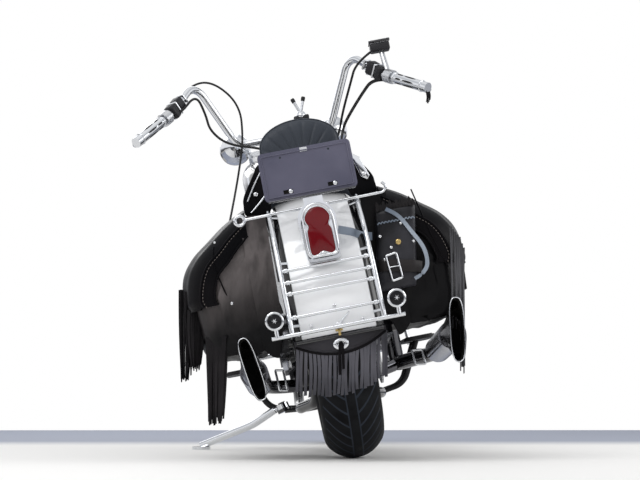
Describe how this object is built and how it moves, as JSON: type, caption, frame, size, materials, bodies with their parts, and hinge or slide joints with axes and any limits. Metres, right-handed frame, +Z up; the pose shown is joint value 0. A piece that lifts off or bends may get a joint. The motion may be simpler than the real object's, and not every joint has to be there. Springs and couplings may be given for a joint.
{
  "type": "chopper motorcycle",
  "caption": "Long, low chopper with high handlebars, wire wheels, a white rear fender with a chrome guard, fringed leather bags and fishtail exhausts, parked on its side stand.",
  "frame": {"origin": "centre of the bounding box's foot, on the floor", "axes": "+Y forward, +X to the rider's right, +Z up; the machine leans 11 degrees to its left"},
  "size_m": [0.9605, 2.4502, 1.3285],
  "materials": {
    "black_paint": "gloss black enamel",
    "white_paint": "polished, almost white enamel",
    "chrome": "bright plating",
    "bright_metal": "plain bright steel",
    "engine_alloy": "cast and brushed",
    "engine_black": "black crackle with bright fin edges",
    "plate_enamel": "blank, semi-matt",
    "lens_red": "deep red moulded lens",
    "lens_clear": "fluted clear glass",
    "leather": "soft black hide, worn sheen",
    "seat_leather": "smooth black hide",
    "rubber_black": "matt",
    "tyre": "worn, grooved tread",
    "plastic_black": "matt"
  },
  "bodies": {
    "frame": {"frame_tubes": "black_paint", "swingarm": "black_paint", "crankcase": "engine_alloy", "cylinders": "engine_black", "rocker_boxes": "chrome", "air_cleaner": "chrome", "transmission": "engine_alloy", "primary_cover": "chrome", "oil_tank": "black_paint", "drive_belt": "rubber_black", "exhaust_right": "chrome", "exhaust_left": "chrome", "fuel_tank": "black_paint", "tank_fittings": "chrome", "rider_seat": "seat_leather", "pillion_seat": "seat_leather", "backrest_pad": "seat_leather", "sissy_bar": "chrome", "rear_fender": "white_paint", "fender_struts": "black_paint", "fender_guard": "chrome", "number_plate": "plate_enamel", "tail_lamp": "chrome", "tail_lens": "lens_red", "rear_signals": "chrome", "mudflap": "leather", "saddlebag_left": "leather", "saddlebag_right": "leather", "tool_case": "leather", "footboards": "rubber_black", "foot_controls": "chrome", "rear_caliper": "bright_metal", "clutch_cable": "rubber_black", "throttle_cables": "rubber_black"},
    "steering": {"fork_legs": "bright_metal", "fork_trees": "chrome", "handlebar": "chrome", "grips": "chrome", "hand_controls": "bright_metal", "headlamp": "chrome", "headlamp_lens": "lens_clear", "passing_lamps": "chrome", "front_fender": "white_paint", "front_caliper": "bright_metal", "phone_holder": "plastic_black", "brake_hose": "rubber_black", "switch_wiring": "rubber_black"},
    "front_wheel": {"front_tyre": "tyre", "front_wheel": "bright_metal"},
    "rear_wheel": {"rear_tyre": "tyre", "rear_wheel": "bright_metal"},
    "side_stand": {"side_stand": "chrome"}
  },
  "joints": [
    {"name": "steering", "type": "hinge", "parent": "frame", "child": "steering", "pos_m": [0.04348, 0.50343, 0.82097], "axis": [-0.1618, -0.5296, 0.8327], "range_deg": [-32, 32], "deforming": ["clutch_cable", "throttle_cables"]},
    {"name": "front_wheel", "type": "hinge", "parent": "steering", "child": "front_wheel", "pos_m": [0.13704, 0.8802, 0.33949], "axis": [0.9816, 0.0001, 0.1908], "continuous": true},
    {"name": "rear_wheel", "type": "hinge", "parent": "frame", "child": "rear_wheel", "pos_m": [0.14123, -0.80981, 0.31861], "axis": [0.9816, 0.0001, 0.1908], "continuous": true},
    {"name": "side_stand", "type": "hinge", "parent": "frame", "child": "side_stand", "pos_m": [0.00197, -0.10989, 0.13334], "axis": [-0.4187, 0.0488, 0.9068], "range_deg": [0, 95]}
  ]
}
